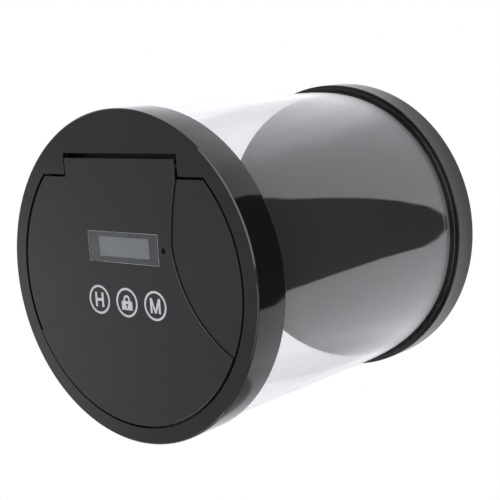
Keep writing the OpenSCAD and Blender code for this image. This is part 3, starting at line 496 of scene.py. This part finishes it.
class LOCKCONTAINER_OT_door(Operator):
    """Door shell and raised panel, with the display's lens and the printed keys"""
    bl_idname = "lockcontainer.door"
    bl_label = "Door"
    LINE_HEIGHT = 0.02 * MM
    NEAR_TOP = 0.02 * MM
    PINHOLE_CLEAR = 2.5 * MM

    def execute(self, context):
        eased_copy("door_shell", "door_moulding", "wing_black", sizes().edge_round)
        eased_copy("front_panel", "panel_moulding", "satin_black", sizes().edge_round,
                   in_rim=self.panel_rim())
        eased_copy("display_lens", "lens_plate", "lens_acrylic", sizes().lens_edge_round,
                   lift=sizes().lens_glue)
        for key in ("hour_key_icon", "lock_key_icon", "minute_key_icon"):
            give_finish(key, "key_ink")
        self.make_outline()
        return {"FINISHED"}

    def panel_rim(self):
        """A test for edges of the panel's own outline, not of the display's recess or the pinhole."""
        low, high = extent("display_lens")
        pinhole = sum(extent("status_led"), Vector()) / 2
        top = extent("front_panel")[1].z - self.NEAR_TOP

        def in_rim(edge):
            middle = (edge.verts[0].co + edge.verts[1].co) / 2
            at_display = low.x - MM < middle.x < high.x + MM and low.y - MM < middle.y < high.y + MM
            on_top = all(v.co.z > top for v in edge.verts)
            return on_top and not at_display and (middle - pinhole).xy.length > self.PINHOLE_CLEAR
        return in_rim

    def make_outline(self):
        """The fine light line along the display lens's edge."""
        low, high = extent("display_lens")
        centre = (low + high) / 2
        on_lens = Matrix.Translation((centre.x, centre.y, high.z + self.LINE_HEIGHT))
        lens_size = Matrix.Diagonal((high.x - low.x, high.y - low.y, 1.0, 1.0))
        bm = bmesh.new()
        bmesh.ops.create_grid(bm, x_segments=1, y_segments=1, size=0.5, matrix=on_lens @ lens_size)
        window = bm.faces[:]
        bmesh.ops.inset_region(bm, faces=window, thickness=sizes().outline_line, depth=0.0,
                               use_boundary=True)
        bmesh.ops.delete(bm, geom=window, context="FACES")
        bmesh.ops.solidify(bm, geom=bm.faces[:], thickness=self.LINE_HEIGHT)
        bmesh.ops.recalc_face_normals(bm, faces=bm.faces)
        piece_from(bm, "display_outline", "door", "outline_grey")


class LOCKCONTAINER_OT_electronics(Operator):
    """Circuit board with what it carries"""
    bl_idname = "lockcontainer.electronics"
    bl_label = "Electronics"

    def execute(self, context):
        for node, finish in (("lcd_module", "display_face"), ("circuit_board", "solder_mask"),
                             ("board_screws", "plated_steel"), ("touch_springs", "spring_brass"),
                             ("status_led", "led_resin"), ("buzzer", "device_black"),
                             ("controller_chip", "device_black"), ("lead_connectors", "natural_nylon"),
                             ("motor_leads", "red_lead"), ("battery_leads", "black_lead")):
            give_finish(node, finish)
        return {"FINISHED"}


class LOCKCONTAINER_OT_power(Operator):
    """Door tray, battery door, contacts and cells"""
    bl_idname = "lockcontainer.power"
    bl_label = "Tray and cells"
    NUB_RADIUS = 1.9 * MM
    NUB_LENGTH = 0.8 * MM
    SLEEVE = 0.45 * MM
    GROOVE_PLACE = 2.7 * MM

    def execute(self, context):
        give_finish("door_tray", "inner_black")
        give_finish("tray_screws", "plated_steel")
        give_finish("battery_door", "inner_black")
        give_finish("contact_plates", "contact_nickel")
        give_finish("contact_springs", "contact_nickel")
        for node in sorted(n for n in NODES if n.startswith("battery_cell_")):
            self.make_cell(node)
        return {"FINISHED"}

    def make_cell(self, node):
        """A plated can with its nub, and a coloured sleeve with the crimp's groove."""
        low, high = extent(node)
        centre = (low + high) / 2
        end, outer = (high.x - low.x) / 2, (high.z - low.z) / 2
        side = self.nub_side(node, centre, outer)
        shoulder, can, ease = end - self.NUB_LENGTH, outer - self.SLEEVE, self.SLEEVE
        line = ((-end, 0), (-end, can - ease), (-end + ease, can), (shoulder - ease, can),
                (shoulder, can - ease), (shoulder, self.NUB_RADIUS), (end - ease / 2, self.NUB_RADIUS),
                (end, self.NUB_RADIUS - ease / 2), (end, 0))
        groove, dip = shoulder - self.GROOVE_PLACE, sizes().crimp_depth
        wrap = ((-end + ease, can), (-end + ease, outer), (groove - dip, outer), (groove, outer - dip),
                (groove + dip, outer), (shoulder - ease, outer), (shoulder - ease, can))
        for name, profile, finish, closed in (("can", line, "contact_nickel", False),
                                              ("sleeve", wrap, "cell_sleeve", True)):
            points = [(centre.x + side * x, centre.y, centre.z + r) for x, r in profile]
            bm = turned(points, ROUND_SIDES, (1, 0, 0), centre, closed)
            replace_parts(piece_from(bm, node + "_" + name, BODY_OF[node], finish), node)

    def nub_side(self, node, centre, radius):
        """1 where the cell's nub points to +X, and -1 where it points to -X."""
        tip = max((v.co for v in NODES[node].data.vertices), key=lambda point: point.x)
        return 1 if (tip - centre).yz.length < radius / 2 else -1


class LOCKCONTAINER_OT_latch(Operator):
    """Motor, pinion and bolt"""
    bl_idname = "lockcontainer.latch"
    bl_label = "Latch"

    def execute(self, context):
        for node, finish in (("latch_motor", "motor_steel"), ("motor_clamp", "plated_steel"),
                             ("drive_pinion", "brass_gear"), ("latch_bolt", "acetal"),
                             ("bolt_keeper", "plated_steel"), ("latch_screws", "plated_steel")):
            give_finish(node, finish)
        return {"FINISHED"}


# ---- Operator: the studio ----

class LOCKCONTAINER_OT_studio(Operator):
    """Pale floor, soft lights and the camera"""
    bl_idname = "lockcontainer.studio"
    bl_label = "Studio"
    # Light of the floor round the object: degrees from +X towards +Y, and its share of the floor's shine
    LIGHT_AROUND = ((-180, 0.8), (-90, 0.7), (-64, 0.75), (-55, 0.95), (-20, 0.97), (45, 0.8), (60, 0.78),
                    (72, 1.0), (88, 1.0), (98, 0.84), (180, 0.8))
    # The same for the distance from the middle of the floor, in metres; the halved light next to the object
    # is painted shade
    LIGHT_OUTWARDS = ((0.0, 0.5), (0.085, 0.5), (0.097, 1.0), (0.20, 1.0), (0.24, 0.75), (1.0, 0.75))
    # Cards seen only in reflections: their corners in millimetres
    BLACK_FLAG = ((94, 6), (94, 1), (100, -7), (109, -14), (139, -24), (175, -41), (207, -59),
                  (215, -85), (900, -470), (900, 900), (167, 159), (158, 114), (142, 82), (124, 52),
                  (110, 32), (101, 22), (94, 11))
    GREY_CARD = ((104, -213), (264, -541), (-205, -564), (-81, -223))
    EDGE_CARD = ((-300, -330), (300, -330), (300, 330), (-300, 330))
    SOFT_CARD = ((-260, -260), (260, -260), (260, 260), (-260, 260))
    # Their light at distances from their middle, in metres
    FLAG_LIGHT = ((0.0, 0.12), (0.18, 0.12), (0.22, 0.05), (1.3, 0.05))
    GREY_LIGHT = ((0.0, 0.33), (1.0, 0.33))
    EDGE_LIGHT = ((0.0, 3.6), (0.28, 3.3), (0.45, 0.6))
    SOFT_LIGHT = ((0.0, 0.55), (0.12, 0.42), (0.26, 0.0))
    # Where the standing cards are: degrees from +X towards +Y, degrees up, and the distance in metres
    EDGE_PLACES = ((27, 39.5), (43, 38.4), (58, 36.5))
    EDGE_DISTANCE = 0.95
    SOFT_PLACE = (195.5, 39)
    SOFT_DISTANCE = 1.0
    # The flag and the grey card lie this high over the floor
    CARD_HEIGHT = 0.5 * MM
    FLOOR_SIDES = 96
    # Softboxes: their name, place and side, in metres, and their power in watts
    SOFTBOXES = (("overhead_softbox", (0.9, -0.6, 1.5), 1.2), ("side_softbox", (-0.3, -1.4, 0.9), 0.9))
    SOFTBOX_AIM = Vector((0, 0, 0.15))
    SOFTBOX_POWER = 5.0
    CAMERA_AIM = Vector((-2.82, -1.67, 92.80)) * MM

    def execute(self, context):
        context.scene.view_settings.view_transform = "Standard"
        self.make_floor()
        on_floor = Matrix.Translation((0, 0, self.CARD_HEIGHT))
        self.make_card("black_flag", self.BLACK_FLAG, on_floor, self.FLAG_LIGHT)
        self.make_card("grey_card", self.GREY_CARD, on_floor, self.GREY_LIGHT)
        for spot in self.EDGE_PLACES:
            self.make_card("edge_card", self.EDGE_CARD, self.facing(*spot, self.EDGE_DISTANCE),
                           self.EDGE_LIGHT)
        self.make_card("soft_card", self.SOFT_CARD, self.facing(*self.SOFT_PLACE, self.SOFT_DISTANCE),
                       self.SOFT_LIGHT, see_through=True)
        self.make_air()
        for name, place, side in self.SOFTBOXES:
            self.make_softbox(name, Vector(place), side)
        self.make_camera()
        return {"FINISHED"}

    def make_floor(self):
        """A round floor, plain white to the eye and brighter further out in reflections, where its dim
        middle is painted shade next to the object.
        """
        bm = bmesh.new()
        bmesh.ops.create_circle(bm, cap_ends=True, segments=self.FLOOR_SIDES,
                                radius=studio().floor_radius)
        floor, tree, output = self.stage_piece("floor", bm, "lit_floor")
        glow = tree.nodes.new("ShaderNodeEmission")
        place = tree.nodes.new("ShaderNodeTexCoord")
        split = tree.nodes.new("ShaderNodeSeparateXYZ")
        tree.links.new(place.outputs["Object"], split.inputs["Vector"])
        angle = math_node(tree, "ARCTAN2", split.outputs["Y"], split.outputs["X"])
        around = self.graded(tree, math_node(tree, "DEGREES", angle), self.LIGHT_AROUND)
        outwards = self.graded(tree, distance_from_middle(tree), self.LIGHT_OUTWARDS)
        shine = math_node(tree, "MULTIPLY", around, outwards)
        scaled = math_node(tree, "MULTIPLY", shine, studio().floor_shine)
        mirrored = self.mirrored(tree)
        pick = tree.nodes.new("ShaderNodeMix")
        pick.inputs["A"].default_value = 1.0
        tree.links.new(mirrored, pick.inputs["Factor"])
        tree.links.new(scaled, pick.inputs["B"])
        tree.links.new(pick.outputs["Result"], glow.inputs["Strength"])
        self.cast_in(tree, mirrored, glow)
        tree.links.new(glow.outputs["Emission"], output.inputs["Surface"])

    def stage_piece(self, name, bm, light_name):
        """A piece of the studio, with the node tree of its light and the only node in it, the output."""
        mesh = bpy.data.meshes.new(name)
        bm.to_mesh(mesh)
        bm.free()
        piece = bpy.data.objects.new(name, mesh)
        bpy.context.scene.collection.objects.link(piece)
        material = bpy.data.materials.new(light_name)
        mesh.materials.append(material)
        tree = cleared(material)
        return piece, tree, tree.nodes.new("ShaderNodeOutputMaterial")

    def mirrored(self, tree):
        """1 for light that reached the eye by a reflection."""
        path = tree.nodes.new("ShaderNodeLightPath")
        return math_node(tree, "GREATER_THAN", path.outputs["Glossy Depth"], 0.5)

    def cast_in(self, tree, share, light):
        """White light to the eye that takes the studio's cast where the share is one."""
        tone = tree.nodes.new("ShaderNodeMix")
        tone.data_type = "RGBA"
        tone.inputs["A"].default_value = (1.0, 1.0, 1.0, 1.0)
        tone.inputs["B"].default_value = (*studio().cast, 1.0)
        tree.links.new(share, tone.inputs["Factor"])
        tree.links.new(tone.outputs["Result"], light.inputs["Color"])

    def graded(self, tree, value, stops):
        """The light that a table of pairs gives for a value; its first and last pair are the ends."""
        low, high = stops[0][0], stops[-1][0]
        share = tree.nodes.new("ShaderNodeMapRange")
        share.inputs["From Min"].default_value = low
        share.inputs["From Max"].default_value = high
        ramp = tree.nodes.new("ShaderNodeValToRGB")
        ends = ramp.color_ramp.elements
        for at, light in stops:
            stop = ends[0] if at == low else ends[-1] if at == high else ends.new((at - low) / (high - low))
            stop.color = (light, light, light, 1.0)
        tree.links.new(value, share.inputs["Value"])
        tree.links.new(share.outputs["Result"], ramp.inputs["Fac"])
        return ramp.outputs["Color"]

    def facing(self, azimuth, height, distance):
        """A place round the object, in degrees and metres, turned to face it."""
        level = cos(radians(height))
        away = Vector((level * cos(radians(azimuth)), level * sin(radians(azimuth)), sin(radians(height))))
        return Matrix.Translation(distance * away) @ away.to_track_quat("Z", "Y").to_matrix().to_4x4()

    def make_card(self, name, corners, place, light, see_through=False):
        """A flat card seen only in reflections; a see-through one adds its light to what is behind."""
        bm = bmesh.new()
        bm.faces.new([bm.verts.new((x * MM, y * MM, 0)) for x, y in corners])
        bmesh.ops.recalc_face_normals(bm, faces=bm.faces)
        card, tree, output = self.stage_piece(name, bm, name + "_light")
        card.matrix_world = place
        card.visible_camera = False
        card.visible_diffuse = False
        card.visible_shadow = False
        glow = tree.nodes.new("ShaderNodeEmission")
        clear = tree.nodes.new("ShaderNodeBsdfTransparent")
        pick = tree.nodes.new("ShaderNodeMixShader")
        shown = glow.outputs["Emission"]
        if see_through:
            both = tree.nodes.new("ShaderNodeAddShader")
            tree.links.new(glow.outputs["Emission"], both.inputs[0])
            tree.links.new(clear.outputs["BSDF"], both.inputs[1])
            shown = both.outputs["Shader"]
        tree.links.new(self.graded(tree, distance_from_middle(tree), light), glow.inputs["Strength"])
        tree.links.new(self.mirrored(tree), pick.inputs["Fac"])
        tree.links.new(clear.outputs["BSDF"], pick.inputs[1])
        tree.links.new(shown, pick.inputs[2])
        tree.links.new(pick.outputs["Shader"], output.inputs["Surface"])

    def make_air(self):
        """A white studio to the eye, and a softer one as light."""
        world = bpy.data.worlds.new("studio_air")
        tree = cleared(world)
        output = tree.nodes.new("ShaderNodeOutputWorld")
        sky = tree.nodes.new("ShaderNodeBackground")
        path = tree.nodes.new("ShaderNodeLightPath")
        bounces = math_node(tree, "ADD", path.outputs["Glossy Depth"], path.outputs["Diffuse Depth"])
        bounced = math_node(tree, "GREATER_THAN", bounces, 0.5)
        pick = tree.nodes.new("ShaderNodeMix")
        pick.inputs["A"].default_value = 1.0
        pick.inputs["B"].default_value = studio().sky_light
        tree.links.new(bounced, pick.inputs["Factor"])
        tree.links.new(pick.outputs["Result"], sky.inputs["Strength"])
        self.cast_in(tree, bounced, sky)
        tree.links.new(sky.outputs["Background"], output.inputs["Surface"])
        bpy.context.scene.world = world

    def make_softbox(self, name, place, side):
        """A square light that faces the object."""
        light = bpy.data.lights.new(name, "AREA")
        light.size = side
        light.energy = self.SOFTBOX_POWER
        box = bpy.data.objects.new(name, light)
        box.location = place
        box.rotation_euler = (self.SOFTBOX_AIM - place).to_track_quat("-Z", "Y").to_euler()
        bpy.context.scene.collection.objects.link(box)

    def make_camera(self):
        """The photograph's camera."""
        s = studio()
        away = Vector((sin(s.camera_polar) * cos(s.camera_azimuth),
                       sin(s.camera_polar) * sin(s.camera_azimuth), cos(s.camera_polar)))
        hinge_side = Vector((0, 1, 0))
        up = (hinge_side - hinge_side.dot(away) * away).normalized()
        right = up.cross(away)
        rolled_up = cos(s.camera_roll) * up + sin(s.camera_roll) * right
        rolled_right = cos(s.camera_roll) * right - sin(s.camera_roll) * up
        data = bpy.data.cameras.new("camera")
        data.sensor_width = 36.0
        data.lens = s.camera_lens
        data.clip_start = 0.01
        camera = bpy.data.objects.new("camera", data)
        turn = Matrix((rolled_right, rolled_up, away)).transposed().to_4x4()
        camera.matrix_world = Matrix.Translation(self.CAMERA_AIM + s.camera_distance * away) @ turn
        bpy.context.scene.collection.objects.link(camera)
        bpy.context.scene.camera = camera


# ---- Sidebar and registration ----

STEPS = (LOCKCONTAINER_OT_base, LOCKCONTAINER_OT_tube, LOCKCONTAINER_OT_lid, LOCKCONTAINER_OT_door,
         LOCKCONTAINER_OT_electronics, LOCKCONTAINER_OT_power, LOCKCONTAINER_OT_latch,
         LOCKCONTAINER_OT_studio)


class LOCKCONTAINER_PT_sidebar(Panel):
    """Lists the pieces and the studio"""
    bl_idname = "LOCKCONTAINER_PT_sidebar"
    bl_label = "Lock Container"
    bl_space_type = "VIEW_3D"
    bl_region_type = "UI"
    bl_category = "Lock Container"

    def draw(self, context):
        for group in (sizes(), colours(), studio()):
            column = self.layout.column(align=True)
            for name in group.bl_rna.properties.keys():
                if name not in ("rna_type", "name"):
                    column.prop(group, name)
        for step in STEPS:
            self.layout.operator(step.bl_idname)


GROUPS = (("lock_container_sizes", LockContainerSizes),
          ("lock_container_colours", LockContainerColours),
          ("lock_container_studio", LockContainerStudio))


def register():
    for name, group in GROUPS:
        bpy.utils.register_class(group)
        setattr(bpy.types.Scene, name, PointerProperty(type=group))
    for step in STEPS + (LOCKCONTAINER_PT_sidebar,):
        bpy.utils.register_class(step)


def unregister():
    for step in reversed(STEPS + (LOCKCONTAINER_PT_sidebar,)):
        bpy.utils.unregister_class(step)
    for name, group in reversed(GROUPS):
        delattr(bpy.types.Scene, name)
        bpy.utils.unregister_class(group)


def main():
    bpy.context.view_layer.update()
    register()
    for step in STEPS:
        group, name = step.bl_idname.split(".")
        getattr(getattr(bpy.ops, group), name)()


if __name__ == "__main__":
    main()
